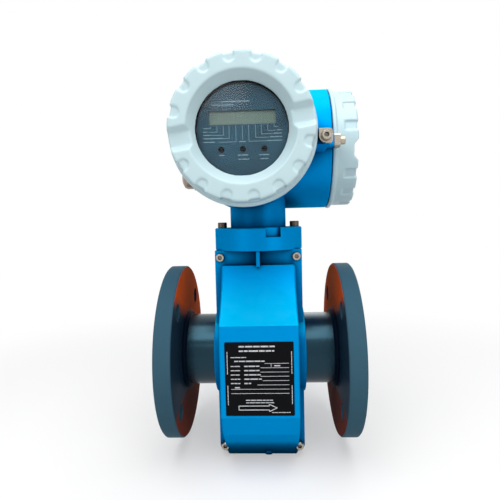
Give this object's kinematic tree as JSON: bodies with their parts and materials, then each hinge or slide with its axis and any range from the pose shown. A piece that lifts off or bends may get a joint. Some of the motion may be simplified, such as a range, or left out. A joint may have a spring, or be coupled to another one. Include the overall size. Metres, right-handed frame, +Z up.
{
  "type": "electromagnetic flow meter",
  "caption": "Compact flanged electromagnetic flow meter: lined steel tube, cast coil housing, bayonet neck and a transmitter head with screw covers over a local display and the connections.",
  "frame": {"origin": "on the pipe axis, midway between the two sealing faces", "axes": "+X along the bore from inlet to outlet, -Y towards the display, +Z up along the neck"},
  "size_m": [0.2035, 0.2132, 0.3946],
  "materials": {
    "slate_paint": "gloss slate paint over primer",
    "liner": "hard rubber",
    "blue_casting": "gloss blue powder coat",
    "bare_casting": "as cast",
    "pale_casting": "satin pale grey powder coat",
    "window": "clear",
    "retainer": "black",
    "seal": "matt black",
    "stainless": "satin stainless",
    "dark_steel": "blackened",
    "magnet_steel": "plain",
    "copper": "wound copper",
    "insulator": "white",
    "nameplate": "black anodised",
    "panel": "slate blue print",
    "lcd": "grey green",
    "key": "black",
    "board": "green laminate",
    "carrier": "black moulding",
    "terminal": "green moulding",
    "gland_metal": "nickel plated"
  },
  "bodies": {
    "sensor": {"measuring_tube": "slate_paint", "inlet_flange": "slate_paint", "outlet_flange": "slate_paint", "liner": "liner", "electrode_front": "stainless", "electrode_rear": "stainless", "level_electrode": "stainless", "reference_electrode": "stainless", "electrode_insulators": "insulator", "electrode_nuts": "stainless", "pole_shoe_upper": "magnet_steel", "pole_shoe_lower": "magnet_steel", "coil_upper": "copper", "coil_lower": "copper", "field_yoke": "magnet_steel", "shell_front": "blue_casting", "shell_rear": "blue_casting", "shell_gasket": "seal", "shell_screws": "stainless", "tube_seal_inlet": "seal", "tube_seal_outlet": "seal", "nameplate": "nameplate", "access_screw": "stainless", "sensor_neck": "bare_casting", "neck_seal": "seal", "bayonet_ring": "blue_casting", "ring_bolts": "dark_steel"},
    "head": {"transmitter_housing": "blue_casting", "display_panel": "panel", "lcd_module": "lcd", "display_board": "board", "display_carrier": "carrier", "electronics_cover": "carrier", "electronics_cover_screws": "stainless", "board_cage": "carrier", "power_board": "board", "amplifier_board": "board", "io_board": "board", "terminal_base": "carrier", "terminal_strip": "terminal", "terminal_screws": "stainless", "display_clamp_screw": "stainless", "terminal_clamp_screw": "stainless", "cable_gland_bodies": "gland_metal", "cable_gland_caps": "gland_metal", "cable_gland_plugs": "seal", "ground_screw": "stainless"},
    "display_seal": {"display_cover_seal": "seal"},
    "display_cover": {"display_cover": "pale_casting", "display_window": "window", "window_retainer": "retainer"},
    "terminal_seal": {"terminal_cover_seal": "seal"},
    "terminal_cover": {"terminal_cover": "pale_casting"},
    "display_clamp": {"display_clamp": "stainless"},
    "terminal_clamp": {"terminal_clamp": "stainless"},
    "key_left": {"key_left": "key"},
    "key_centre": {"key_centre": "key"},
    "key_right": {"key_right": "key"}
  },
  "joints": [
    {"name": "head_swivel", "type": "hinge", "parent": "sensor", "child": "head", "pos_m": [0, 0, 0.128], "axis": [0, 0, 1], "range_deg": [-180, 180]},
    {"name": "display_cover_travel", "type": "slide", "parent": "head", "child": "display_seal", "axis": [0, -1, 0], "range_m": [0, 0.00801]},
    {"name": "display_cover_turn", "type": "hinge", "parent": "display_seal", "child": "display_cover", "pos_m": [-0.0095, -0.085, 0.2196], "axis": [0, -1, 0], "range_deg": [0, 1440]},
    {"name": "terminal_cover_travel", "type": "slide", "parent": "head", "child": "terminal_seal", "axis": [1, 0, 0], "range_m": [0, 0.00801]},
    {"name": "terminal_cover_turn", "type": "hinge", "parent": "terminal_seal", "child": "terminal_cover", "pos_m": [0.077, 0.0287, 0.2196], "axis": [1, 0, 0], "range_deg": [0, 1440]},
    {"name": "display_clamp_swing", "type": "hinge", "parent": "head", "child": "display_clamp", "pos_m": [0.0629, -0.0873, 0.2136], "axis": [0, 1, 0], "range_deg": [0, 90]},
    {"name": "terminal_clamp_swing", "type": "hinge", "parent": "head", "child": "terminal_clamp", "pos_m": [0.0793, -0.0437, 0.2173], "axis": [-1, 0, 0], "range_deg": [0, 90]},
    {"name": "key_left_press", "type": "slide", "parent": "head", "child": "key_left", "axis": [0, 1, 0], "range_m": [0, 0.0008], "stiffness_N_per_m": 300},
    {"name": "key_centre_press", "type": "slide", "parent": "head", "child": "key_centre", "axis": [0, 1, 0], "range_m": [0, 0.0008], "stiffness_N_per_m": 300},
    {"name": "key_right_press", "type": "slide", "parent": "head", "child": "key_right", "axis": [0, 1, 0], "range_m": [0, 0.0008], "stiffness_N_per_m": 300}
  ],
  "couplings": [
    {"joint": "display_cover_travel", "follows": "display_cover_turn", "m_per_rad": 0.00031831},
    {"joint": "terminal_cover_travel", "follows": "terminal_cover_turn", "m_per_rad": 0.00031831}
  ]
}
